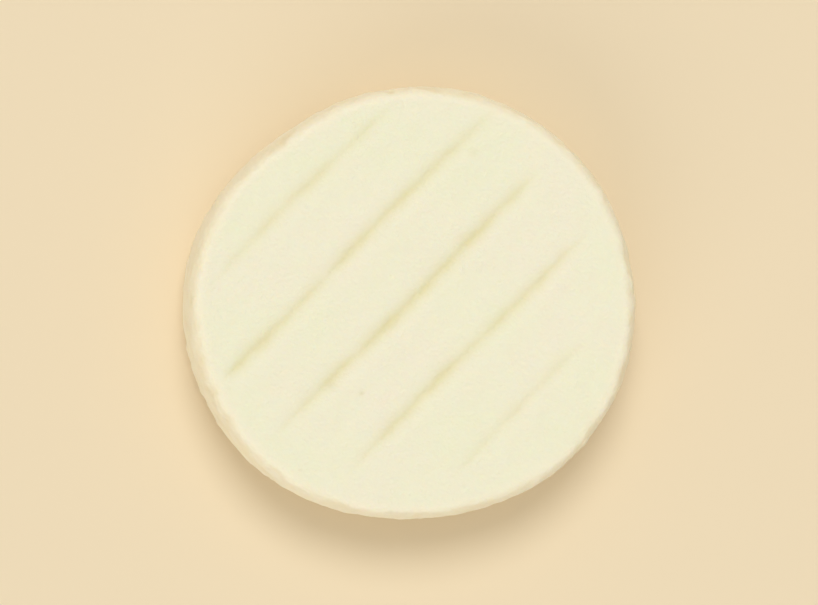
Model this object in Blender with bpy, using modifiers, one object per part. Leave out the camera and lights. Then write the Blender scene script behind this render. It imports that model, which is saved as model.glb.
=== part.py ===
# A goat cheese disc: one small soft cheese, moulded, turned out and dried on a rack of parallel
# rods, first on one face and then on the other. The rods leave shallow grooves in both faces.
# The disc lies flat. Its origin is on the table under its middle, and +Z is up.
# All sizes are in metres, and angles are in radians from +X.

import math
from collections import namedtuple

import bmesh
import bpy
from mathutils import Vector

# The disc as a whole
DIAMETER = 0.056
HEIGHT = 0.0140
WAIST_HEIGHT = 0.0058  # where the soft side stands out furthest

# The flat faces end where the shoulders begin to round over
TOP_FLAT_RADIUS = 0.0260
FOOT_FLAT_RADIUS = 0.0253
TOP_FULLNESS = 3.4  # 2 is a plain ellipse, and more is a squarer shoulder
FOOT_FULLNESS = 2.8

# A rod of the drying rack presses a soft groove: wide flanks, a thin core where the skin creases,
# and a low lip of pushed-up curd on each side
ROD_PITCH = 0.0097
GROOVE_DEPTH = 0.00040
GROOVE_HALF_WIDTH = 0.0012
CORE_HALF_WIDTH = 0.00045
CORE_SHARE = 0.5  # the core's share of the depth
LIP_HEIGHT = 0.00005
LIP_DISTANCE = 0.0024
GROOVE_WANDER = 0.00015
WANDER_LENGTH = 0.0060  # the run over which a groove wanders by one radian
WANDER_SHIFT = 2.1  # the turn in radians between one groove's wander and the next one's
TIP_WIDTH = 0.5  # its width where it runs out, as a share

# One groove: its share of the full depth, the distance from the middle at which it has run out, and
# the stretch before that in which it gets shallower and narrower
Groove = namedtuple("Groove", "share reach fade")

# One face's row of grooves: the way the rods ran, the grooves in order, how far the row is off the
# middle, and where the first groove's wander starts
Rack = namedtuple("Rack", "direction grooves shift phase")
TOP_RACK = Rack(
    direction=math.radians(45),
    grooves=(
        Groove(0.62, 0.0236, 0.0060),
        Groove(0.76, 0.0260, 0.0120),
        Groove(0.95, 0.0260, 0.0120),
        Groove(0.80, 0.0270, 0.0040),
        Groove(0.58, 0.0270, 0.0060),
    ),
    shift=0.0007,
    phase=0.6,
)
FOOT_RACK = Rack(
    direction=math.radians(112),
    grooves=(
        Groove(0.55, 0.0250, 0.0060),
        Groove(0.85, 0.0245, 0.0080),
        Groove(0.95, 0.0250, 0.0100),
        Groove(0.80, 0.0255, 0.0070),
        Groove(0.58, 0.0240, 0.0060),
    ),
    shift=-0.0009,
    phase=2.3,
)

# Hand-made unevenness: (waves round the rim, share of the radius, angle of a crest)
RIM_WAVES = (
    (2, 0.0145, math.radians(7)),
    (3, 0.0042, math.radians(-33)),
    (4, 0.0052, math.radians(-31)),
    (5, 0.0029, math.radians(24)),
)
DENT_DEPTH = 0.00068  # a soft flat on the rim
DENT_ANGLE = math.radians(128)
DENT_SPREAD = math.radians(21)
SLUMP_REACH = 0.00090  # here the soft side has sagged outwards, most of all low down
SLUMP_ANGLE = math.radians(-162)
SLUMP_SPREAD = math.radians(38)
SLUMP_AT_TOP = 0.4  # the share of the slump that the top face has
TOP_TILT = 0.00022  # the top face is this much higher at the rim on its high side
TILT_ANGLE = math.radians(-60)
TOP_SAG = 0.00016  # and this much lower in the middle
TOP_TWIST = 0.00012
TWIST_ANGLE = math.radians(25)

# Mesh density
RIM_STEPS = 120
TOP_SHOULDER_STEPS = 10
FOOT_SHOULDER_STEPS = 8
CUTS_BESIDE_GROOVE = (0.0, 0.0003, 0.0007, 0.0012, 0.0018, 0.0028)
CROSS_CUT_PITCH = 0.0019
MERGE_DISTANCE = 0.00002
ON_FACE = 0.000001

# Pale ivory with a yellow-green cast, waxy and damp
CHEESE_COLOUR = (0.87, 0.84, 0.60, 1.0)
CHEESE_ROUGHNESS = 0.46


def clear_scene():
    for old in list(bpy.data.objects):
        bpy.data.objects.remove(old)


def shoulder(flat_radius, drop, fullness, steps):
    """Points (radius, distance below the flat face) from the flat's edge out to the waist."""
    reach = DIAMETER / 2 - flat_radius
    points = []
    for step in range(steps + 1):
        turn = math.pi / 2 * (1 - step / steps)
        out = math.cos(turn) ** (2 / fullness) if step else 0.0
        up = math.sin(turn) ** (2 / fullness) if step < steps else 0.0
        points.append((flat_radius + reach * out, drop * (1 - up)))
    return points


def side_profile():
    """The side's section from the top flat's edge down to the foot flat's edge."""
    top = shoulder(TOP_FLAT_RADIUS, HEIGHT - WAIST_HEIGHT, TOP_FULLNESS, TOP_SHOULDER_STEPS)
    foot = shoulder(FOOT_FLAT_RADIUS, WAIST_HEIGHT, FOOT_FULLNESS, FOOT_SHOULDER_STEPS)
    upper = [Vector((radius, 0, HEIGHT - below)) for radius, below in top]
    lower = [Vector((radius, 0, above)) for radius, above in reversed(foot[:-1])]
    return upper + lower


def turned_side():
    """The rounded side as a mesh with open ends, turned from its section by a Screw."""
    profile = side_profile()
    mesh = bpy.data.meshes.new("side_section")
    mesh.from_pydata(profile, [(i, i + 1) for i in range(len(profile) - 1)], [])
    section = bpy.data.objects.new("side_section", mesh)
    bpy.context.scene.collection.objects.link(section)
    screw = section.modifiers.new("turn", "SCREW")
    screw.axis = "Z"
    screw.steps = RIM_STEPS
    screw.render_steps = RIM_STEPS
    screw.use_merge_vertices = True
    screw.merge_threshold = MERGE_DISTANCE
    graph = bpy.context.evaluated_depsgraph_get()
    side = bpy.data.meshes.new_from_object(section.evaluated_get(graph))
    bpy.data.objects.remove(section)
    return side


def face_geometry(bm, height):
    """The flat end face at this height, with its edges and corners, for cutting."""
    faces = [f for f in bm.faces if all(abs(v.co.z - height) < ON_FACE for v in f.verts)]
    edges = {e for f in faces for e in f.edges}
    corners = {v for f in faces for v in f.verts}
    return list(faces) + list(edges) + list(corners)


def groove_centres(rack):
    middle = (len(rack.grooves) - 1) / 2
    return [(i - middle) * ROD_PITCH + rack.shift for i in range(len(rack.grooves))]


def along_and_across(rack):
    """Unit vectors along the rods and across them."""
    along = Vector((math.cos(rack.direction), math.sin(rack.direction), 0))
    return along, Vector((-along.y, along.x, 0))


def cut_face(bm, height, rack, flat_radius):
    """Cuts an end face into a grid that runs with its grooves and is fine across them."""
    along, across = along_and_across(rack)
    offsets = {
        centre + side * step
        for centre in groove_centres(rack)
        for step in CUTS_BESIDE_GROOVE
        for side in (-1, 1)
    }
    lines = [(across, offset) for offset in sorted(offsets)]
    rows = int(flat_radius / CROSS_CUT_PITCH)
    lines += [(along, row * CROSS_CUT_PITCH) for row in range(-rows, rows + 1)]
    for normal, offset in lines:
        bmesh.ops.bisect_plane(
            bm,
            geom=face_geometry(bm, height),
            dist=ON_FACE,
            plane_co=normal * offset + Vector((0, 0, height)),
            plane_no=normal,
        )


def ease(value):
    """A smooth step from 0 to 1."""
    value = min(1.0, max(0.0, value))
    return value * value * (3 - 2 * value)


def bell(distance, width):
    return math.exp(-((distance / width) ** 2))


def groove_depth(x, y, rack):
    """How deep the rack's print is at this place of a face. A lip counts as negative."""
    along, across = along_and_across(rack)
    run = x * along.x + y * along.y
    aside = x * across.x + y * across.y
    depth = 0.0
    for order, (centre, groove) in enumerate(zip(groove_centres(rack), rack.grooves)):
        firmness = ease((groove.reach - math.hypot(x, y)) / groove.fade)
        taper = TIP_WIDTH + (1 - TIP_WIDTH) * firmness
        turn = run / WANDER_LENGTH + rack.phase + WANDER_SHIFT * order
        off = abs(aside - centre - GROOVE_WANDER * math.sin(turn))
        flanks = (1 - CORE_SHARE) * bell(off, GROOVE_HALF_WIDTH * taper)
        core = CORE_SHARE * bell(off, CORE_HALF_WIDTH * taper)
        lip = LIP_HEIGHT * bell(off - LIP_DISTANCE, GROOVE_HALF_WIDTH * taper)
        depth += groove.share * firmness * (GROOVE_DEPTH * (flanks + core) - lip)
    return depth


def near_angle(angle, middle, spread):
    """1 at the middle angle, falling to nothing away from it."""
    return bell(math.remainder(angle - middle, 2 * math.pi), spread)


def rim_stretch(angle, level):
    """The radius at this angle as a share of the mean one. The level is 0 at the foot, 1 on top."""
    waves = sum(size * math.cos(count * (angle - crest)) for count, size, crest in RIM_WAVES)
    dent = DENT_DEPTH * near_angle(angle, DENT_ANGLE, DENT_SPREAD)
    slump = SLUMP_REACH * near_angle(angle, SLUMP_ANGLE, SLUMP_SPREAD)
    slump *= 1 - (1 - SLUMP_AT_TOP) * level
    return 1 + waves + (slump - dent) / (DIAMETER / 2)


def top_swell(x, y):
    """The slow rise and fall of the top face: a tilt, a sag in the middle and a twist."""
    reach = math.hypot(x, y) / (DIAMETER / 2)
    angle = math.atan2(y, x)
    tilt = TOP_TILT * reach * math.cos(angle - TILT_ANGLE)
    sag = -TOP_SAG * (1 - reach * reach)
    return tilt + sag + TOP_TWIST * reach * reach * math.cos(2 * (angle - TWIST_ANGLE))


def make_rim_uneven(bm):
    """Moves each corner of the true turned side out or in to the soft, handled outline."""
    for corner in bm.verts:
        x, y, z = corner.co
        stretch = rim_stretch(math.atan2(y, x), z / HEIGHT)
        corner.co = (x * stretch, y * stretch, z)


def press_faces(bm):
    """Presses the grooves into both faces and lets the top one swell."""
    for corner in bm.verts:
        x, y, z = corner.co
        pressed = 0.0
        if abs(z - HEIGHT) < ON_FACE:
            pressed = -groove_depth(x, y, TOP_RACK)
        elif abs(z) < ON_FACE:
            pressed = max(0.0, groove_depth(x, y, FOOT_RACK))
        corner.co.z = z + z / HEIGHT * top_swell(x, y) + pressed


def centre_on_table(bm):
    """Puts the middle of the footprint over the origin and the foot on the table."""
    low = Vector([min(v.co[i] for v in bm.verts) for i in range(3)])
    high = Vector([max(v.co[i] for v in bm.verts) for i in range(3)])
    middle = (low + high) / 2
    bmesh.ops.translate(bm, verts=bm.verts, vec=-Vector((middle.x, middle.y, low.z)))


def cheese_mesh():
    side = turned_side()
    bm = bmesh.new()
    bm.from_mesh(side)
    bpy.data.meshes.remove(side)
    make_rim_uneven(bm)
    open_ends = [e for e in bm.edges if e.is_boundary]
    bmesh.ops.holes_fill(bm, edges=open_ends, sides=0)
    cut_face(bm, HEIGHT, TOP_RACK, TOP_FLAT_RADIUS)
    cut_face(bm, 0.0, FOOT_RACK, FOOT_FLAT_RADIUS)
    press_faces(bm)
    centre_on_table(bm)
    bmesh.ops.remove_doubles(bm, verts=bm.verts, dist=MERGE_DISTANCE)
    bmesh.ops.triangulate(bm, faces=bm.faces, ngon_method="BEAUTY")
    bmesh.ops.recalc_face_normals(bm, faces=bm.faces)
    mesh = bpy.data.meshes.new("cheese_disc")
    bm.to_mesh(mesh)
    bm.free()
    mesh.shade_smooth()
    return mesh


def cheese_material():
    material = bpy.data.materials.new("soft_goat_cheese")
    material.use_nodes = True
    surface = material.node_tree.nodes["Principled BSDF"]
    surface.inputs["Base Color"].default_value = CHEESE_COLOUR
    surface.inputs["Roughness"].default_value = CHEESE_ROUGHNESS
    surface.inputs["Metallic"].default_value = 0.0
    return material


def main():
    clear_scene()
    collection = bpy.data.collections.new("goat_cheese_disc")
    bpy.context.scene.collection.children.link(collection)
    disc = bpy.data.objects.new("cheese_disc", cheese_mesh())
    disc.data.materials.append(cheese_material())
    collection.objects.link(disc)


main()
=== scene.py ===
# %% [markdown]
# This is a small soft goat cheese, seen from above. The real one is a spoonful of drained curd that was
# set in a round mould, turned out, and dried on a rack of parallel rods, first on one face and then on
# the other. So there is one piece to make: a soft disc, a little uneven all round, with rounded
# shoulders and a row of shallow grooves in each face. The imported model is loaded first. It gives the
# place and the box that the finished cheese has to keep to.

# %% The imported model
import math
from collections import namedtuple

import bpy
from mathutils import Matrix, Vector


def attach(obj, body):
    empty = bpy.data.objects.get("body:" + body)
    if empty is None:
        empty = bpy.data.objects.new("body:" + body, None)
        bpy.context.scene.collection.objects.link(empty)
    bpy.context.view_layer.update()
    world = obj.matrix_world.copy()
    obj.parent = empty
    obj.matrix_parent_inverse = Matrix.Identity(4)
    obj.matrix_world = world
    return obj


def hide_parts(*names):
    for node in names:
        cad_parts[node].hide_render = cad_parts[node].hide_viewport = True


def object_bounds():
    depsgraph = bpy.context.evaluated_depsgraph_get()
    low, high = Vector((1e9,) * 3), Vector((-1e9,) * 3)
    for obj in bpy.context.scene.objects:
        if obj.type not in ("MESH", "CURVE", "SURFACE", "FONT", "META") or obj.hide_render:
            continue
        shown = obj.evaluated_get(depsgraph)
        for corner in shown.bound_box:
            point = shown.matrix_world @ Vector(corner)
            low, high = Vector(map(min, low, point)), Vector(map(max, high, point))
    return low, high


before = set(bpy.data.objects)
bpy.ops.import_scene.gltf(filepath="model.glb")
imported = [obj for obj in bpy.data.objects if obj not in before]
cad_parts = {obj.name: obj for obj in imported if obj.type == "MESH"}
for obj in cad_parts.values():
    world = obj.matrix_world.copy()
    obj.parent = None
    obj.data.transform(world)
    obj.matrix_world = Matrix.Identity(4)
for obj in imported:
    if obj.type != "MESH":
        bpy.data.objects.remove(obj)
cad_low, cad_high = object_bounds()
MM = 0.001
print("Packed nodes:", list(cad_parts))
print("CAD box in mm:", [round(side / MM, 1) for side in cad_high - cad_low])

# %% [markdown]
# Every pattern and every rule below is made of nodes: Geometry Nodes for the shape and shader nodes for
# the finish. Nodes can be placed by hand in the editor, but a script that builds them can be read and
# repeated. One small function is enough for both kinds of tree. It adds any node, changes its settings,
# and feeds its inputs. An input is found by its place or its name. It is linked if it is given a node or
# a socket, and set if it is given a value.

# %% One function that adds a node
def add(tree, kind, inputs=(), **settings):
    """Adds a node to a tree, changes its settings, and links or sets its inputs."""
    node = tree.nodes.new(kind)
    for setting, value in settings.items():
        setattr(node, setting, value)
    pairs = inputs.items() if isinstance(inputs, dict) else enumerate(inputs)
    for key, value in pairs:
        sockets = [s for s in node.inputs if s.enabled]
        socket = sockets[key] if isinstance(key, int) else next(s for s in sockets if s.name == key)
        if isinstance(value, bpy.types.Node):
            value = next(s for s in value.outputs if s.enabled)
        if isinstance(value, bpy.types.NodeSocket):
            tree.links.new(value, socket)
        else:
            socket.default_value = value
    return node


# %% [markdown]
# The mould gives the disc its round form, and the soft curd then settles into rounded shoulders. A lathe
# shape like this could be a spun profile, but a spun mesh has a pole in the middle of each face, just
# where the grooves cross it. Here only the section is drawn, from the middle of the top face round the
# shoulders to the middle of the underside. The next steps lay a ball's even mesh over it.

# %% The section of the disc
DIAMETER = 56 * MM
HEIGHT = 14 * MM
MEAN_RADIUS = DIAMETER / 2
WAIST_HEIGHT = 5.8 * MM  # where the soft side stands out furthest
TOP_FLAT_RADIUS = 26 * MM  # where a flat face ends and its shoulder begins
FOOT_FLAT_RADIUS = 25.3 * MM
TOP_FULLNESS = 3.4  # 2 is a plain ellipse, and more is a squarer shoulder
FOOT_FULLNESS = 2.8
SHOULDER_POINTS = 48


def shoulder(flat_radius, drop, fullness):
    """Points (radius, distance from the flat face), from the flat's edge out to the waist."""
    points = []
    for step in range(SHOULDER_POINTS + 1):
        turn = math.pi / 2 * (1 - step / SHOULDER_POINTS)
        out = max(0.0, math.cos(turn)) ** (2 / fullness)
        up = max(0.0, math.sin(turn)) ** (2 / fullness)
        points.append((flat_radius + (MEAN_RADIUS - flat_radius) * out, drop * (1 - up)))
    return points


top_half = shoulder(TOP_FLAT_RADIUS, HEIGHT - WAIST_HEIGHT, TOP_FULLNESS)
foot_half = shoulder(FOOT_FLAT_RADIUS, WAIST_HEIGHT, FOOT_FULLNESS)[:-1]
upper = [(out, HEIGHT - drop) for out, drop in top_half]
outline = [(0.0, HEIGHT)] + upper + foot_half[::-1] + [(0.0, 0.0)]
section_curve = bpy.data.curves.new("section", "CURVE")
section_curve.dimensions = "3D"
spline = section_curve.splines.new("POLY")
spline.points.add(len(outline) - 1)
for point, (out, up) in zip(spline.points, outline):
    point.co = (out, 0.0, up, 1.0)  # the last is the point's weight, which a plain line doesn't use
section = bpy.data.objects.new("section", section_curve)
bpy.context.scene.collection.objects.link(section)
print("The section has", len(outline), "points")

# %% [markdown]
# Now the tree is started, with its sizes as named inputs, so that the same tree could make a larger
# cheese or one from another rack. A cube whose faces are cut into fine squares is blown up into a ball.
# Its squares would crowd at the corners, so each place on the cube first goes through a tangent, which
# spreads them evenly. A place on the ball then tells two things: how far along the section it lies, and
# in which direction from the middle.

# %% The tree and its named inputs
POINTS_PER_SIDE = 126
tree = bpy.data.node_groups.new("goat_cheese_disc", "GeometryNodeTree")
tree.interface.new_socket("Geometry", in_out="OUTPUT", socket_type="NodeSocketGeometry")
tree_values = {}


def tree_input(name, kind, value):
    """Adds a named input to the tree and keeps the value that the modifier will set it to."""
    socket = tree.interface.new_socket(name, in_out="INPUT", socket_type="NodeSocket" + kind)
    tree_values[socket.identifier] = value
    return name


for name, kind, value in (
    ("Section", "Object", section),
    ("Points per side", "Int", POINTS_PER_SIDE),
    ("Rod pitch", "Float", 9.7 * MM),
    ("Groove depth", "Float", 0.40 * MM),
    ("Groove half width", "Float", 1.2 * MM),
    ("Core half width", "Float", 0.45 * MM),
    ("Lip height", "Float", 0.05 * MM),
    ("Lip distance", "Float", 2.4 * MM),
    ("Skin relief", "Float", 1.0),
    ("Nick depth", "Float", 0.28 * MM),
    ("Pit depth per radius", "Float", 0.8),
    ("Seed", "Float", 7.0),
):
    tree_input(name, kind, value)
entry = add(tree, "NodeGroupInput").outputs
print("Inputs:", [socket.name for socket in entry if socket.name])

# %% A ball of even squares
CUBE_SIDE = 2.0  # so that its faces lie at -1 and 1
EDGE_ANGLE = math.pi / 4  # its tangent is 1, so the edges of the cube stay where they are

cube = add(
    tree,
    "GeometryNodeMeshCube",
    {
        "Size": (CUBE_SIDE, CUBE_SIDE, CUBE_SIDE),
        "Vertices X": entry["Points per side"],
        "Vertices Y": entry["Points per side"],
        "Vertices Z": entry["Points per side"],
    },
)
place = add(tree, "GeometryNodeInputPosition")
as_angle = add(tree, "ShaderNodeVectorMath", {"Vector": place, "Scale": EDGE_ANGLE}, operation="SCALE")
spread = add(tree, "ShaderNodeVectorMath", (as_angle,), operation="TANGENT")
ball = add(tree, "ShaderNodeVectorMath", (spread,), operation="NORMALIZE")
ball_x, ball_y, ball_z = add(tree, "ShaderNodeSeparateXYZ", (ball,)).outputs
print("Squares on the ball:", 6 * (POINTS_PER_SIDE - 1) ** 2)

# %% The ball's places, laid over the section
from_top = add(tree, "ShaderNodeMath", (ball_z,), operation="ARCCOSINE")
along_section = add(tree, "ShaderNodeMath", (from_top, math.pi), operation="DIVIDE")
section_info = add(tree, "GeometryNodeObjectInfo", {"Object": entry["Section"]})
sample = add(
    tree,
    "GeometryNodeSampleCurve",
    {"Curves": section_info.outputs["Geometry"], "Factor": along_section},
    mode="FACTOR",
)
radius, _, turned_z = add(tree, "ShaderNodeSeparateXYZ", (sample.outputs["Position"],)).outputs
flat_ball = add(tree, "ShaderNodeCombineXYZ", (ball_x, ball_y, 0.0))
outwards = add(tree, "ShaderNodeVectorMath", (flat_ball,), operation="NORMALIZE")
turned_xy = add(tree, "ShaderNodeVectorMath", {"Vector": outwards, "Scale": radius}, operation="SCALE")
angle = add(tree, "ShaderNodeMath", (ball_y, ball_x), operation="ARCTAN2")
level = add(tree, "ShaderNodeMath", (turned_z, HEIGHT), operation="DIVIDE")  # 0 at the foot, 1 on top
print("Nodes so far:", len(tree.nodes))

# %% [markdown]
# No such cheese is a true circle. It is widest across one way, has a soft flat at the upper left, and has
# sagged outwards on its left side, most of all low down. A few slow waves round the rim give the
# hand-made outline, and two bell curves add the flat and the sag. They are the same rules and sizes that
# the solid model has, so the two outlines agree. The top face isn't a true plane either: it tilts, twists
# and is lowest in the middle, all by a fraction of a millimetre.

# %% A bell curve, and one round the rim
def bell(distance, width):
    """Adds the nodes of a bell curve: 1 in the middle, falling to nothing past about two widths."""
    share = add(tree, "ShaderNodeMath", (distance, width), operation="DIVIDE")
    square = add(tree, "ShaderNodeMath", (share, share), operation="MULTIPLY")
    fall = add(tree, "ShaderNodeMath", (square, -1.0), operation="MULTIPLY")
    return add(tree, "ShaderNodeMath", (fall,), operation="EXPONENT")


def near_angle(middle, spread):
    """Adds the nodes of a bell round the rim, with its top at the middle angle."""
    gap = add(tree, "ShaderNodeMath", (angle, middle), operation="SUBTRACT")
    wrapped = add(tree, "ShaderNodeMath", (gap, math.pi, -math.pi), operation="WRAP")
    return bell(wrapped, spread)


def round_wave(count, crest):
    """Adds the nodes of a wave round the middle, with this many crests and one at this angle."""
    turn = add(tree, "ShaderNodeMath", (angle, count, -count * crest), operation="MULTIPLY_ADD")
    return add(tree, "ShaderNodeMath", (turn,), operation="COSINE")


# %% The uneven outline
RimWave = namedtuple("RimWave", "count share crest")  # the share is of the mean radius
RIM_WAVES = (
    RimWave(2, 0.0145, math.radians(7)),
    RimWave(3, 0.0042, math.radians(-33)),
    RimWave(4, 0.0052, math.radians(-31)),
    RimWave(5, 0.0029, math.radians(24)),
)
DENT_DEPTH = 0.68 * MM  # the soft flat
DENT_ANGLE = math.radians(128)
DENT_SPREAD = math.radians(21)
SLUMP_REACH = 0.90 * MM  # the sag outwards
SLUMP_ANGLE = math.radians(-162)
SLUMP_SPREAD = math.radians(38)
SLUMP_AT_TOP = 0.4  # the share of the sag that the top face has

stretch = 1.0
for wave in RIM_WAVES:
    rise = round_wave(wave.count, wave.crest)
    stretch = add(tree, "ShaderNodeMath", (rise, wave.share, stretch), operation="MULTIPLY_ADD")
dent = near_angle(DENT_ANGLE, DENT_SPREAD)
stretch = add(tree, "ShaderNodeMath", (dent, -DENT_DEPTH / MEAN_RADIUS, stretch), operation="MULTIPLY_ADD")
slump_share = add(tree, "ShaderNodeMath", (level, SLUMP_AT_TOP - 1.0, 1.0), operation="MULTIPLY_ADD")
near_slump = near_angle(SLUMP_ANGLE, SLUMP_SPREAD)
slump = add(tree, "ShaderNodeMath", (near_slump, slump_share), operation="MULTIPLY")
stretch = add(tree, "ShaderNodeMath", (slump, SLUMP_REACH / MEAN_RADIUS, stretch), operation="MULTIPLY_ADD")
stretched = add(tree, "ShaderNodeVectorMath", {"Vector": turned_xy, "Scale": stretch}, operation="SCALE")
from_middle = add(tree, "ShaderNodeVectorMath", (stretched,), operation="LENGTH").outputs["Value"]
print("Crests round the rim:", [wave.count for wave in RIM_WAVES])

# %% The slow swell of the top face
TOP_TILT = 0.22 * MM
TILT_ANGLE = math.radians(-60)
TOP_TWIST = 0.12 * MM
TWIST_ANGLE = math.radians(25)
TOP_SAG = 0.16 * MM

reach = add(tree, "ShaderNodeMath", (radius, MEAN_RADIUS), operation="DIVIDE")
reach_squared = add(tree, "ShaderNodeMath", (reach, reach), operation="MULTIPLY")
swell = add(tree, "ShaderNodeMath", (reach_squared, TOP_SAG, -TOP_SAG), operation="MULTIPLY_ADD")
# One crest round the middle tilts the face, and two twist it
for count, height, crest, grows in (
    (1, TOP_TILT, TILT_ANGLE, reach),
    (2, TOP_TWIST, TWIST_ANGLE, reach_squared),
):
    lift = add(tree, "ShaderNodeMath", (round_wave(count, crest), grows), operation="MULTIPLY")
    swell = add(tree, "ShaderNodeMath", (lift, height, swell), operation="MULTIPLY_ADD")
swell = add(tree, "ShaderNodeMath", (swell, level), operation="MULTIPLY")
swell_sizes = (TOP_TILT, TOP_TWIST, TOP_SAG)
print("The top's tilt, twist and sag in mm:", [round(size / MM, 2) for size in swell_sizes])

# %% [markdown]
# The rods of the rack lie side by side at one pitch, and each presses a soft groove into the damp face,
# with a low lip of pushed-up curd on both sides. Five grooves could be modelled one by one. But as they
# repeat, it is enough to ask of each place which rod is nearest and how far off it is. That is one
# formula for a whole row. Each groove has its own depth and runs out at its own distance from the middle,
# as in the photo. It wanders a little from a straight line, and presses deeper in some stretches than in
# others.

# %% The two racks
# A groove has its share of the full depth, its reach from the middle, and the length that it fades over
Groove = namedtuple("Groove", "share reach fade")
# A rack has its direction, its grooves, how far it lies off the middle, and where its wander starts
Rack = namedtuple("Rack", "direction grooves shift phase")

TOP_RACK = Rack(
    direction=math.radians(45),
    grooves=(
        Groove(0.62, 23.6 * MM, 6.0 * MM),
        Groove(0.76, 26.0 * MM, 12.0 * MM),
        Groove(0.95, 26.0 * MM, 12.0 * MM),
        Groove(0.80, 27.0 * MM, 4.0 * MM),
        Groove(0.58, 27.0 * MM, 6.0 * MM),
    ),
    shift=0.7 * MM,
    phase=0.6,
)
FOOT_RACK = Rack(
    direction=math.radians(112),
    grooves=(
        Groove(0.55, 25.0 * MM, 6.0 * MM),
        Groove(0.85, 24.5 * MM, 8.0 * MM),
        Groove(0.95, 25.0 * MM, 10.0 * MM),
        Groove(0.80, 25.5 * MM, 7.0 * MM),
        Groove(0.58, 24.0 * MM, 6.0 * MM),
    ),
    shift=-0.9 * MM,
    phase=2.3,
)
print("Grooves on top and underneath:", len(TOP_RACK.grooves), len(FOOT_RACK.grooves))

# %% Which rod is nearest, and how far off it is
GROOVE_WANDER = 0.15 * MM
WANDER_LENGTH = 6 * MM  # the run over which a groove wanders by one radian
WANDER_SHIFT = 2.1  # radians between one groove's wander and the next one's
RAGGED_LENGTH = 2.4 * MM
RAGGED_REACH = 0.6 * MM
SOFT_DETAIL = 1.0  # little of the finer detail that a noise can have, for a soft form


def nearest_rod(rack):
    """Adds the nodes that find the nearest rod: its number, the run along it, its line, the gap to it."""
    last = len(rack.grooves) - 1
    along = (math.cos(rack.direction), math.sin(rack.direction), 0.0)
    across = (-along[1], along[0], 0.0)
    run = add(tree, "ShaderNodeVectorMath", (stretched, along), operation="DOT_PRODUCT").outputs["Value"]
    aside = add(tree, "ShaderNodeVectorMath", (stretched, across), operation="DOT_PRODUCT").outputs["Value"]
    beside = add(tree, "ShaderNodeMath", (aside, rack.shift), operation="SUBTRACT")
    rods_off = add(tree, "ShaderNodeMath", (beside, entry["Rod pitch"]), operation="DIVIDE")
    nearest = add(tree, "ShaderNodeMath", (rods_off,), operation="ROUND")
    order = add(tree, "ShaderNodeMath", (nearest, last / 2), operation="ADD")
    rod = add(tree, "ShaderNodeClamp", {"Value": order, "Min": 0.0, "Max": float(last)})
    centred = add(tree, "ShaderNodeMath", (rod, last / 2), operation="SUBTRACT")
    rod_line = add(tree, "ShaderNodeMath", (centred, entry["Rod pitch"]), operation="MULTIPLY")
    turn = add(tree, "ShaderNodeMath", (run, 1 / WANDER_LENGTH, rack.phase), operation="MULTIPLY_ADD")
    turn = add(tree, "ShaderNodeMath", (rod, WANDER_SHIFT, turn), operation="MULTIPLY_ADD")
    sway = add(tree, "ShaderNodeMath", (turn,), operation="SINE")
    line = add(tree, "ShaderNodeMath", (sway, GROOVE_WANDER, rod_line), operation="MULTIPLY_ADD")
    gap = add(tree, "ShaderNodeMath", (beside, line), operation="SUBTRACT")
    torn = add(
        tree, "ShaderNodeTexNoise", {"Vector": stretched, "Scale": 1 / RAGGED_LENGTH, "Detail": SOFT_DETAIL}
    )
    uneven = add(tree, "ShaderNodeMath", (torn, RAGGED_REACH, -RAGGED_REACH / 2), operation="MULTIPLY_ADD")
    gap = add(tree, "ShaderNodeMath", (gap, uneven), operation="ADD")
    off = add(tree, "ShaderNodeMath", (gap,), operation="ABSOLUTE")
    return rod, run, line, off


print("A groove wanders by", round(GROOVE_WANDER / MM, 2), "mm to each side")


# %% How firmly that rod pressed, and how much of its groove is left there
PRESS_LENGTH = 7 * MM
NOISE_SPAN = (0.3, 0.7)  # nearly all of a noise lies between these
PRESS_RANGE = (0.5, 1.45)


def of_rod(rod, values):
    """Adds the node that picks a rod's own value from a row of them."""
    switch = add(tree, "GeometryNodeIndexSwitch", data_type="FLOAT")
    while len(switch.index_switch_items) < len(values):
        switch.index_switch_items.new()
    tree.links.new(rod.outputs[0], switch.inputs["Index"])
    for number, value in enumerate(values):
        switch.inputs[number + 1].default_value = value
    return switch


def rod_firmness(rod, run, line):
    """Adds the nodes that make a rod press deeper in some stretches than in others."""
    spot = add(tree, "ShaderNodeCombineXYZ", (run, line, entry["Seed"]))
    press = add(
        tree, "ShaderNodeTexNoise", {"Vector": spot, "Scale": 1 / PRESS_LENGTH, "Detail": SOFT_DETAIL}
    )
    noise_low, noise_high = NOISE_SPAN
    soft, hard = PRESS_RANGE
    return add(
        tree,
        "ShaderNodeMapRange",
        {"Value": press, "From Min": noise_low, "From Max": noise_high, "To Min": soft, "To Max": hard},
    )


def groove_left(rod, grooves):
    """Adds the nodes that let each groove run out: 1 where it is full, and 0 past its reach."""
    runs_out = of_rod(rod, [groove.reach for groove in grooves])
    still_full = of_rod(rod, [groove.reach - groove.fade for groove in grooves])
    return add(
        tree,
        "ShaderNodeMapRange",
        {"Value": from_middle, "From Min": runs_out, "From Max": still_full},
        interpolation_type="SMOOTHSTEP",
    )


print("A rod presses from", PRESS_RANGE[0], "to", PRESS_RANGE[1], "times its groove's depth")

# %% A rack's whole print, as a depth
TIP_WIDTH = 0.5  # a groove's width where it runs out, as a share
CORE_SHARE = 0.5  # the thin core's share of the depth
MIDDLE_LEVEL = 0.5  # half the height


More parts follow.
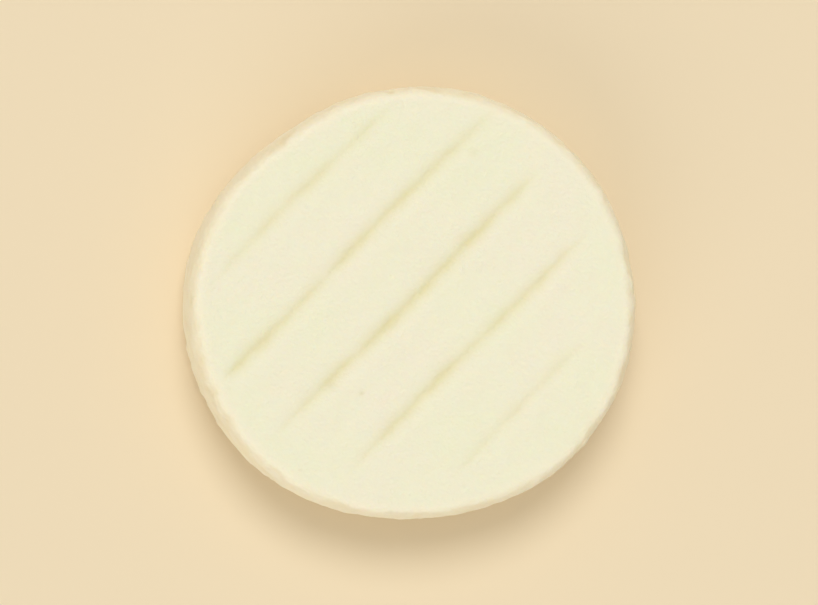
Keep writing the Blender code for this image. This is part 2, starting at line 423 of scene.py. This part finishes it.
def rack_print(rack):
    """Adds the nodes that give how deep a rack's print is at a place. A lip counts as negative."""
    rod, run, line, off = nearest_rod(rack)
    firmness = rod_firmness(rod, run, line)
    left = groove_left(rod, rack.grooves)
    taper = add(tree, "ShaderNodeMath", (left, 1.0 - TIP_WIDTH, TIP_WIDTH), operation="MULTIPLY_ADD")
    width = add(tree, "ShaderNodeMath", (taper, entry["Groove half width"]), operation="MULTIPLY")
    core_width = add(tree, "ShaderNodeMath", (taper, entry["Core half width"]), operation="MULTIPLY")
    core = add(tree, "ShaderNodeMath", (bell(off, core_width), CORE_SHARE), operation="MULTIPLY")
    dip = add(tree, "ShaderNodeMath", (bell(off, width), 1.0 - CORE_SHARE, core), operation="MULTIPLY_ADD")
    groove = add(tree, "ShaderNodeMath", (dip, entry["Groove depth"]), operation="MULTIPLY")
    off_lip = add(tree, "ShaderNodeMath", (off, entry["Lip distance"]), operation="SUBTRACT")
    lip = add(tree, "ShaderNodeMath", (bell(off_lip, width), entry["Lip height"]), operation="MULTIPLY")
    depth = add(tree, "ShaderNodeMath", (groove, lip), operation="SUBTRACT")
    share = of_rod(rod, [groove.share for groove in rack.grooves])
    for factor in (share, firmness, left):
        depth = add(tree, "ShaderNodeMath", (depth, factor), operation="MULTIPLY")
    return depth


on_top = add(tree, "ShaderNodeMath", (level, MIDDLE_LEVEL), operation="GREATER_THAN")
on_foot = add(tree, "ShaderNodeMath", (level, MIDDLE_LEVEL), operation="LESS_THAN")
top_print = add(tree, "ShaderNodeMath", (rack_print(TOP_RACK), on_top), operation="MULTIPLY")
foot_print = add(tree, "ShaderNodeMath", (rack_print(FOOT_RACK), on_foot), operation="MULTIPLY")
foot_rise = add(tree, "ShaderNodeMath", (foot_print, 0.0), operation="MAXIMUM")
print("Nodes so far:", len(tree.nodes))

# %% [markdown]
# The disc now takes its shape. A rule that reads a point's position gives something else once the point
# has moved. So what the later steps need to know of the plain disc is stored in the mesh first: how deep
# the print is, how far a place belongs to the side or to the rim, and where it lies on the section.

# %% Where each point goes
pressed = add(tree, "ShaderNodeMath", (foot_rise, top_print), operation="SUBTRACT")
height_here = add(tree, "ShaderNodeMath", (turned_z, swell), operation="ADD")
height_here = add(tree, "ShaderNodeMath", (height_here, pressed), operation="ADD")
upright = add(tree, "ShaderNodeCombineXYZ", (0.0, 0.0, height_here))
shape_place = add(tree, "ShaderNodeVectorMath", (stretched, upright), operation="ADD")
print("Mean size in mm:", round(DIAMETER / MM, 1), "across and", round(HEIGHT / MM, 1), "high")

# %% What the mesh remembers
SIDE_SPAN = (TOP_FLAT_RADIUS, MEAN_RADIUS - 0.4 * MM)  # the radii over which a face turns into side
RIM_LIGHT_SPAN = (25.2 * MM, 27.4 * MM)  # the rim's painted light starts a little further in

# The print's share tints the grooves: partly the whey's own yellow, partly painted shade
either_print = add(tree, "ShaderNodeMath", (top_print, foot_rise), operation="ADD")
groove_tint_and_shade_share = add(tree, "ShaderNodeMath", (either_print, entry["Groove depth"]), operation="DIVIDE")
side_share, rim_light_share = [
    add(
        tree,
        "ShaderNodeMapRange",
        {"Value": radius, "From Min": starts, "From Max": ends},
        interpolation_type="SMOOTHSTEP",
    )
    for starts, ends in (SIDE_SPAN, RIM_LIGHT_SPAN)
]
section_spot = add(tree, "ShaderNodeCombineXYZ", (radius, turned_z, 0.0))
marked = cube.outputs["Mesh"]
for name, value, kind in (
    ("rack_print", groove_tint_and_shade_share, "FLOAT"),
    ("side", side_share, "FLOAT"),
    ("rim_and_side", rim_light_share, "FLOAT"),
    ("section_place", section_spot, "FLOAT_VECTOR"),
):
    marked = add(
        tree,
        "GeometryNodeStoreNamedAttribute",
        {"Geometry": marked, "Name": name, "Value": value},
        data_type=kind,
        domain="POINT",
    )
    print("Stored in the mesh:", name)
shaped = add(tree, "GeometryNodeSetPosition", {"Geometry": marked, "Position": shape_place})

# %% [markdown]
# Close up, the skin of a fresh cheese isn't smooth. Broad soft hollows are left by the mould and by
# fingers, the side shows the curd that it was packed from, its edges are nicked, and here and there a
# bubble has left a pit. Such relief could all be bump in the material, but then the outline and the
# finished mesh would stay too perfect. So what is larger than the mesh's squares is real shape, moved
# along the surface's own normal, and only the finest grain is left to the material. The faces were
# pressed on the rack, so they are calmer than the side.

# %% Ripples, from broad hollows down to curd
NOISE_MIDDLE = 0.5
SEED_STEP = 10.0
# The face share is how much of a ripple is left on the calmer faces
Ripple = namedtuple("Ripple", "length height face_share")
RIPPLES = (
    Ripple(15 * MM, 0.50 * MM, 0.8),
    Ripple(6 * MM, 0.45 * MM, 0.4),
    Ripple(2.4 * MM, 0.30 * MM, 0.4),
    Ripple(1.1 * MM, 0.16 * MM, 0.5),
)

shape_spot = add(tree, "GeometryNodeInputPosition")
on_side = add(tree, "GeometryNodeInputNamedAttribute", {"Name": "side"}, data_type="FLOAT")
relief = 0.0
for step, ripple in enumerate(RIPPLES):
    seed = add(tree, "ShaderNodeMath", (entry["Seed"], SEED_STEP * step), operation="ADD")
    noise = add(
        tree,
        "ShaderNodeTexNoise",
        {"Vector": shape_spot, "W": seed, "Scale": 1 / ripple.length, "Detail": SOFT_DETAIL},
        noise_dimensions="4D",
    )
    centred = add(tree, "ShaderNodeMath", (noise, NOISE_MIDDLE), operation="SUBTRACT")
    here = add(tree, "ShaderNodeMapRange", {"Value": on_side, "To Min": ripple.face_share, "To Max": 1.0})
    wave = add(tree, "ShaderNodeMath", (centred, here), operation="MULTIPLY")
    relief = add(tree, "ShaderNodeMath", (wave, ripple.height, relief), operation="MULTIPLY_ADD")
relief = add(tree, "ShaderNodeMath", (relief, entry["Skin relief"]), operation="MULTIPLY")
print("Ripple lengths in mm:", [round(ripple.length / MM, 1) for ripple in RIPPLES])

# %% Where the curd shows: in patches of the side
CURD_PATCH = 6 * MM
CURD_PATCH_SPAN = (0.34, 0.66)

patchy = add(
    tree, "ShaderNodeTexNoise", {"Vector": shape_spot, "Scale": 1 / CURD_PATCH, "Detail": SOFT_DETAIL}
)
shows = add(
    tree,
    "ShaderNodeMapRange",
    {"Value": patchy, "From Min": CURD_PATCH_SPAN[0], "From Max": CURD_PATCH_SPAN[1]},
    interpolation_type="SMOOTHSTEP",
)
shows = add(tree, "ShaderNodeMath", (shows, on_side), operation="MULTIPLY")
print("Curd patches in mm:", round(CURD_PATCH / MM, 1))

# %% The curd grains, and the gaps between them
CURD_SIZE = 2.3 * MM
CURD_HEIGHT = 0.38 * MM
CURD_SOFTNESS = 0.35
CURD_MIDDLE = 0.5  # the distance from a grain's middle, in grains, at which the skin stays where it is
CURD_WARP = 4.0 * MM  # bends the grains out of their round form
CURD_GAP_SPAN = (0.35, 0.85)

bend = add(tree, "ShaderNodeTexNoise", {"Vector": shape_spot, "Scale": 1 / CURD_SIZE, "Detail": SOFT_DETAIL})
bend = add(tree, "ShaderNodeVectorMath", (bend.outputs["Color"], (NOISE_MIDDLE,) * 3), operation="SUBTRACT")
bend = add(tree, "ShaderNodeVectorMath", {"Vector": bend, "Scale": CURD_WARP}, operation="SCALE")
curd_spot = add(tree, "ShaderNodeVectorMath", (shape_spot, bend), operation="ADD")
grains = add(
    tree,
    "ShaderNodeTexVoronoi",
    {"Vector": curd_spot, "W": entry["Seed"], "Scale": 1 / CURD_SIZE, "Smoothness": CURD_SOFTNESS},
    voronoi_dimensions="4D",
    feature="SMOOTH_F1",
)
from_grain = grains.outputs["Distance"]
to_gap = add(tree, "ShaderNodeMath", (CURD_MIDDLE, from_grain), operation="SUBTRACT")
curd_rise = add(tree, "ShaderNodeMath", (to_gap, CURD_HEIGHT), operation="MULTIPLY")
relief = add(tree, "ShaderNodeMath", (curd_rise, shows, relief), operation="MULTIPLY_ADD")
# Where the gaps between the grains are; the material paints them darker there, as painted shade
curd_gap = add(
    tree,
    "ShaderNodeMapRange",
    {"Value": from_grain, "From Min": CURD_GAP_SPAN[0], "From Max": CURD_GAP_SPAN[1]},
    interpolation_type="SMOOTHSTEP",
)
curd_gap = add(tree, "ShaderNodeMath", (curd_gap, shows), operation="MULTIPLY")
print("Curd grains in mm:", round(CURD_SIZE / MM, 1))

# %% Nicks along both edges
NICK_LENGTH = 3.6 * MM
NICK_SPREAD = 1.5 * MM
NICK_SPAN = (0.56, 0.80)
NICK_DETAIL = 2.0
EDGES = (  # each edge's radius and height
    (27.3 * MM, HEIGHT - 1.1 * MM),
    (27.0 * MM, 1.0 * MM),
)

section_place = add(
    tree, "GeometryNodeInputNamedAttribute", {"Name": "section_place"}, data_type="FLOAT_VECTOR"
)
nick_noise = add(
    tree,
    "ShaderNodeTexNoise",
    {"Vector": shape_spot, "W": entry["Seed"], "Scale": 1 / NICK_LENGTH, "Detail": NICK_DETAIL},
    noise_dimensions="4D",
)
nick = add(
    tree,
    "ShaderNodeMapRange",
    {"Value": nick_noise, "From Min": NICK_SPAN[0], "From Max": NICK_SPAN[1]},
    interpolation_type="SMOOTHSTEP",
)
for edge_radius, edge_height in EDGES:
    edge_spot = (edge_radius, edge_height, 0.0)
    edge_off = add(tree, "ShaderNodeVectorMath", (section_place, edge_spot), operation="DISTANCE")
    near_edge = bell(edge_off.outputs["Value"], NICK_SPREAD)
    nick_here = add(tree, "ShaderNodeMath", (near_edge, nick), operation="MULTIPLY")
    nick_drop = add(tree, "ShaderNodeMath", (nick_here, entry["Nick depth"]), operation="MULTIPLY")
    relief = add(tree, "ShaderNodeMath", (relief, nick_drop), operation="SUBTRACT")
print("Edges with nicks:", len(EDGES))

# %% Pits, each of its own size
PIT_SPACING = 3.6 * MM
SMALL_PIT = 0.28 * MM
LARGE_PIT = 0.60 * MM
FACE_PIT_CHANCE = 0.10
SIDE_PIT_CHANCE = 0.42

cells = add(
    tree,
    "ShaderNodeTexVoronoi",
    {"Vector": shape_spot, "W": entry["Seed"], "Scale": 1 / PIT_SPACING},
    voronoi_dimensions="4D",
)
pit_off = add(tree, "ShaderNodeMath", (cells.outputs["Distance"], PIT_SPACING), operation="MULTIPLY")
chance_draw, size_draw, _ = add(tree, "ShaderNodeSeparateXYZ", (cells.outputs["Color"],)).outputs
pit_chance = add(
    tree,
    "ShaderNodeMapRange",
    {"Value": on_side, "To Min": FACE_PIT_CHANCE, "To Max": SIDE_PIT_CHANCE},
)
has_pit = add(tree, "ShaderNodeMath", (chance_draw, pit_chance), operation="LESS_THAN")
pit_radius = add(
    tree, "ShaderNodeMapRange", {"Value": size_draw, "To Min": SMALL_PIT, "To Max": LARGE_PIT}
)
pit = add(tree, "ShaderNodeMath", (bell(pit_off, pit_radius), has_pit), operation="MULTIPLY")
pit_depth = add(tree, "ShaderNodeMath", (pit_radius, entry["Pit depth per radius"]), operation="MULTIPLY")
pit_drop = add(tree, "ShaderNodeMath", (pit, pit_depth), operation="MULTIPLY")
relief = add(tree, "ShaderNodeMath", (relief, pit_drop), operation="SUBTRACT")
print("Pit radii in mm:", round(SMALL_PIT / MM, 2), "to", round(LARGE_PIT / MM, 2))

# %% The relief moves the surface along its normal
normal = add(tree, "GeometryNodeInputNormal")
moved = add(tree, "ShaderNodeVectorMath", {"Vector": normal, "Scale": relief}, operation="SCALE")
pitted = shaped
# Both masks are kept for the material, which paints shade into the pits and the gaps between the grains
for name, value in (("pit", pit), ("curd_gap", curd_gap)):
    pitted = add(
        tree,
        "GeometryNodeStoreNamedAttribute",
        {"Geometry": pitted, "Name": name, "Value": value},
        data_type="FLOAT",
        domain="POINT",
    )
    print("Stored in the mesh:", name)
weathered = add(tree, "GeometryNodeSetPosition", {"Geometry": pitted, "Offset": moved})
weathered = add(tree, "GeometryNodeRemoveAttribute", {"Geometry": weathered, "Name": "section_place"})

# %% [markdown]
# Fresh goat cheese is a damp, dense paste with no rind. Light goes a millimetre or so into it before it
# comes out again, which softens every edge, so the shader needs some subsurface scattering. The damp
# skin gives a broad, dull highlight. The face is a pale ivory with a faint yellow-green cast. The rim and
# the side are painted lighter and creamier, as painted light for the bright rim and for the warm light
# thrown up onto the side. The grooves are painted darker and the most yellow: partly whey gathered in
# them, partly painted shade. The gaps between the curd grains and the pits are painted darker too, as
# painted shade in these hollows. The colours are written as they look on a screen, and one function
# turns them to the linear values that Blender wants. What the mesh remembers then says where each
# colour goes.

# %% Colours of the cheese
FACE_COLOUR = "#f6f4db"
FACE_COOL_COLOUR = "#f4f3d7"
FACE_WARM_COLOUR = "#f7f1da"
# The grooves are darker than the face: partly the whey's own yellow, partly painted shade in the grooves
GROOVE_TINT_AND_SHADE_COLOUR = "#ece5b9"
# Painted light: the rim and the side are lighter and warmer than the face, for the rim's highlight and the
# light bounced onto the side
RIM_AND_SIDE_LIGHT_COLOUR = "#fef4dc"
# Painted shade: the gaps between the curd grains are darker than the face
GAP_SHADE_COLOUR = "#f2e5c0"
# Painted shade: the pits are darker than the face
PIT_SHADE_COLOUR = "#e2d6aa"


def linear(colour):
    """Turns an sRGB hex colour into Blender's linear red, green, blue and alpha."""
    shares = [int(colour[i : i + 2], 16) / 255 for i in (1, 3, 5)]
    return (*(s / 12.92 if s <= 0.04045 else ((s + 0.055) / 1.055) ** 2.4 for s in shares), 1.0)


print("The face in linear light:", [round(share, 3) for share in linear(FACE_COLOUR)])

# %% The paste: soft goat cheese, moulded and air-dried
PATCH_LENGTH = 13 * MM
PATCH_SPAN = (0.35, 0.65)
MOTTLE_LENGTH = 2.6 * MM
MOTTLE_SPAN = (0.35, 0.7)
MOTTLE_STRENGTH = 0.6
MOTTLE_DETAIL = 2.0
Tint = namedtuple("Tint", "attribute strength colour")
TINTS = (  # each lies over the ones before it
    # painted light: the rim and the side lighter and warmer
    Tint("rim_and_side", 0.95, RIM_AND_SIDE_LIGHT_COLOUR),
    # the grooves darker and more yellow: partly the whey's tint, partly painted shade
    Tint("rack_print", 0.9, GROOVE_TINT_AND_SHADE_COLOUR),
    # painted shade in the gaps between the curd grains
    Tint("curd_gap", 0.45, GAP_SHADE_COLOUR),
    # painted shade in the pits
    Tint("pit", 0.8, PIT_SHADE_COLOUR),
)

cheese = bpy.data.materials.new("soft_goat_cheese")
cheese.use_nodes = True
finish = cheese.node_tree
finish.nodes.clear()
spot = add(finish, "ShaderNodeTexCoord").outputs["Object"]
patches = add(
    finish, "ShaderNodeTexNoise", {"Vector": spot, "Scale": 1 / PATCH_LENGTH, "Detail": SOFT_DETAIL}
)
patch_share = add(
    finish, "ShaderNodeMapRange", {"Value": patches, "From Min": PATCH_SPAN[0], "From Max": PATCH_SPAN[1]}
)
mottle = add(
    finish, "ShaderNodeTexNoise", {"Vector": spot, "Scale": 1 / MOTTLE_LENGTH, "Detail": MOTTLE_DETAIL}
)
mottle_share = add(
    finish,
    "ShaderNodeMapRange",
    {"Value": mottle, "From Min": MOTTLE_SPAN[0], "From Max": MOTTLE_SPAN[1], "To Max": MOTTLE_STRENGTH},
)
colour = linear(FACE_WARM_COLOUR)
for share, tint in ((patch_share, FACE_COOL_COLOUR), (mottle_share, FACE_COLOUR)):
    colour = add(finish, "ShaderNodeMix", {"Factor": share, "A": colour, "B": linear(tint)}, data_type="RGBA")
for attribute, strength, tint in TINTS:
    where = add(finish, "ShaderNodeAttribute", attribute_name=attribute).outputs["Fac"]
    share = add(finish, "ShaderNodeMath", (where, strength), operation="MULTIPLY", use_clamp=True)
    colour = add(finish, "ShaderNodeMix", {"Factor": share, "A": colour, "B": linear(tint)}, data_type="RGBA")
# Some of these are painted light and shade: the rim's light, and the shade in the grooves, the gaps and the
# pits
print("Places with a tint of their own:", [tint.attribute for tint in TINTS])

# %% Its damp skin
ROUGHNESS_RANGE = (0.40, 0.54)  # damper in some places than in others
GRAIN_LENGTH = 0.45 * MM  # the real grain is finer, and is drawn coarser here so that it shows
GRAIN_HEIGHT = 0.14 * MM
GRAIN_DETAIL = 3.0
CURD_IOR = 1.42
SCATTER_SHARE = 0.4
SCATTER_DISTANCE = 0.5 * MM
SCATTER_REACH = (1.0, 0.8, 0.5)  # red light goes further in than blue

roughness = add(
    finish,
    "ShaderNodeMapRange",
    {
        "Value": mottle,
        "From Min": NOISE_SPAN[0],
        "From Max": NOISE_SPAN[1],
        "To Min": ROUGHNESS_RANGE[0],
        "To Max": ROUGHNESS_RANGE[1],
    },
)
grain = add(finish, "ShaderNodeTexNoise", {"Vector": spot, "Scale": 1 / GRAIN_LENGTH, "Detail": GRAIN_DETAIL})
grain_bump = add(finish, "ShaderNodeBump", {"Strength": 1.0, "Distance": GRAIN_HEIGHT, "Height": grain})
surface = add(
    finish,
    "ShaderNodeBsdfPrincipled",
    {
        "Base Color": colour,
        "Roughness": roughness,
        "IOR": CURD_IOR,
        "Subsurface Weight": SCATTER_SHARE,
        "Subsurface Radius": SCATTER_REACH,
        "Subsurface Scale": SCATTER_DISTANCE,
        "Normal": grain_bump,
    },
)
add(finish, "ShaderNodeOutputMaterial", {"Surface": surface})
print("The finish has", len(finish.nodes), "nodes")

# %% [markdown]
# The tree ends by making its result real, smooth and finished, and laying its lowest points on the table:
# the ripples of the underside that reach below it are pressed flat, as the weight of the cheese does. The
# modifier's result is then copied to a plain mesh and moved until its box lies round the middle of the
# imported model's. So the looks and the solid can't drift apart.

# %% The end of the tree
LEAST_PLACE = (-1.0, -1.0, 0.0)  # no limit that matters sideways, but never below the table

material_input = tree_input("Material", "Material", cheese)
resting = add(tree, "ShaderNodeVectorMath", (shape_spot, LEAST_PLACE), operation="MAXIMUM")
settled = add(tree, "GeometryNodeSetPosition", {"Geometry": weathered, "Position": resting})
smooth = add(tree, "GeometryNodeSetShadeSmooth", {"Geometry": settled})
real = add(tree, "GeometryNodeRealizeInstances", (smooth,))
dressed = add(tree, "GeometryNodeSetMaterial", {"Geometry": real, "Material": entry[material_input]})
add(tree, "NodeGroupOutput", (dressed,))
print("The tree has", len(tree.nodes), "nodes")

# %% The finished mesh
blank = bpy.data.objects.new("blank", bpy.data.meshes.new("blank"))
bpy.context.scene.collection.objects.link(blank)
modifier = blank.modifiers.new("shape", "NODES")
modifier.node_group = tree
for identifier, value in tree_values.items():
    modifier[identifier] = value
graph = bpy.context.evaluated_depsgraph_get()
disc_mesh = bpy.data.meshes.new_from_object(blank.evaluated_get(graph))
disc_mesh.name = "goat_cheese"
bpy.data.objects.remove(blank)
bpy.data.objects.remove(section)
disc = bpy.data.objects.new("goat_cheese", disc_mesh)
bpy.context.scene.collection.objects.link(disc)
print("Triangles:", sum(len(face.vertices) - 2 for face in disc_mesh.polygons))

# %% Its place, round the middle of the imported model's box
corners = [Vector(corner) for corner in disc.bound_box]
made_low = Vector([min(corner[i] for corner in corners) for i in range(3)])
made_high = Vector([max(corner[i] for corner in corners) for i in range(3)])
shift = (cad_low + cad_high - made_low - made_high) / 2
shift.z = cad_low.z - made_low.z
for vertex in disc_mesh.vertices:
    vertex.co += shift
print("Made in mm:", [round(side / MM, 1) for side in made_high - made_low])

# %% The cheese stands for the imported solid
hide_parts("cheese_disc")
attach(disc, "root")
print("The piece:", disc.name)

# %% [markdown]
# A pale, warm tabletop carries the cheese. It is a board with matt paint, so it has no shine of its own.
# Its tone matters more than it seems: some of its light comes back to the side of the cheese, which makes
# the side creamier than the face.

# %% The table
TABLE_COLOUR = "#f0dfbf"
TABLE_ROUGHNESS = 0.75
TABLE_RADIUS = 3.0
RING_POINTS = 96

ring = [2 * math.pi * step / RING_POINTS for step in range(RING_POINTS)]
rim = [(TABLE_RADIUS * math.cos(turn), TABLE_RADIUS * math.sin(turn), 0.0) for turn in ring]
table_mesh = bpy.data.meshes.new("table")
table_mesh.from_pydata(rim, [], [tuple(range(RING_POINTS))])
table_finish = bpy.data.materials.new("matt_painted_board")
table_finish.use_nodes = True
board = table_finish.node_tree.nodes["Principled BSDF"]
board.inputs["Base Color"].default_value = linear(TABLE_COLOUR)
board.inputs["Roughness"].default_value = TABLE_ROUGHNESS
table_mesh.materials.append(table_finish)
table = bpy.data.objects.new("table", table_mesh)
table.location.z = cad_low.z
bpy.context.scene.collection.objects.link(table)
print("The table is", 2 * TABLE_RADIUS, "m across")

# %% [markdown]
# The light of the photo is soft and comes from nearly overhead, a little from its upper edge: the shadow
# is narrow, and darkest below and beside the cheese. An area lamp over the table could give it, but its
# light would fall off towards the edges. A sun lamp with a wide angle is as soft and lights the whole
# table evenly. A second, weaker one from low on the other side keeps the side of the cheese bright. The
# room round them is an even, pale white, which turns to the table's own tone near the horizon, so that no
# hard line shows behind the cheese in a low view.

# %% The room
ROOM_COLOUR = "#fffaf0"
ROOM_STRENGTH = 0.52
HORIZON_COLOUR = "#ecdbbb"
HORIZON_STRENGTH = 1.0
HORIZON_BAND = (0.01, 0.14)  # the sine of the angle above the horizon

room = bpy.data.worlds.new("room")
room.use_nodes = True
air = room.node_tree
air.nodes.clear()
direction = add(air, "ShaderNodeTexCoord").outputs["Generated"]
upwards = add(air, "ShaderNodeSeparateXYZ", (direction,)).outputs["Z"]
above_horizon = add(
    air,
    "ShaderNodeMapRange",
    {"Value": upwards, "From Min": HORIZON_BAND[0], "From Max": HORIZON_BAND[1]},
    interpolation_type="SMOOTHSTEP",
)
horizon = add(air, "ShaderNodeBackground", (linear(HORIZON_COLOUR), HORIZON_STRENGTH))
walls = add(air, "ShaderNodeBackground", (linear(ROOM_COLOUR), ROOM_STRENGTH))
both = add(air, "ShaderNodeMixShader", (above_horizon, horizon, walls))
add(air, "ShaderNodeOutputWorld", {"Surface": both})
bpy.context.scene.world = room
print("Strength of the room and of its horizon:", ROOM_STRENGTH, HORIZON_STRENGTH)

# %% The lamps
# Height and turn are the angles that the light comes from, above the table and round it
Lamp = namedtuple("Lamp", "name strength spread height turn")
LAMPS = (
    Lamp("overhead_panel", 1.2, math.radians(24), math.radians(64), math.radians(94)),
    Lamp("low_fill", 0.70, math.radians(50), math.radians(28), math.radians(-115)),
)
for lamp in LAMPS:
    light = bpy.data.lights.new(lamp.name, "SUN")
    light.energy = lamp.strength
    light.angle = lamp.spread
    level_reach = math.cos(lamp.height)
    towards = Vector(
        (level_reach * math.cos(lamp.turn), level_reach * math.sin(lamp.turn), math.sin(lamp.height))
    )
    holder = bpy.data.objects.new(lamp.name, light)
    holder.rotation_mode = "QUATERNION"
    holder.rotation_quaternion = towards.to_track_quat("Z", "Y")
    bpy.context.scene.collection.objects.link(holder)
bpy.context.scene.view_settings.view_transform = "Standard"
print("Lamps:", [lamp.name for lamp in LAMPS])

# %% [markdown]
# The camera looks almost straight down, as in the photo. There the cheese lies to the right of the middle,
# so it is seen about five degrees from its left, and a strip of its left side shows. A long lens from
# well away keeps the far side of the face as wide as the near one.

# %% The camera
FRAME_WIDTH = 818  # pixels, as wide as the photo
DISC_WIDTH = 440  # pixels that the cheese takes up across it
CAMERA_DISTANCE = 0.80
CAMERA_LEAN = math.radians(5)

lens = bpy.data.cameras.new("camera")
lens.lens = lens.sensor_width * CAMERA_DISTANCE / DIAMETER * DISC_WIDTH / FRAME_WIDTH
camera = bpy.data.objects.new("camera", lens)
target = Vector((0, 0, (cad_low.z + cad_high.z) / 2))
camera.location = target + CAMERA_DISTANCE * Vector((-math.sin(CAMERA_LEAN), 0, math.cos(CAMERA_LEAN)))
camera.rotation_euler = (0, -CAMERA_LEAN, 0)
bpy.context.scene.collection.objects.link(camera)
bpy.context.scene.camera = camera
print("Lens in mm:", round(lens.lens))
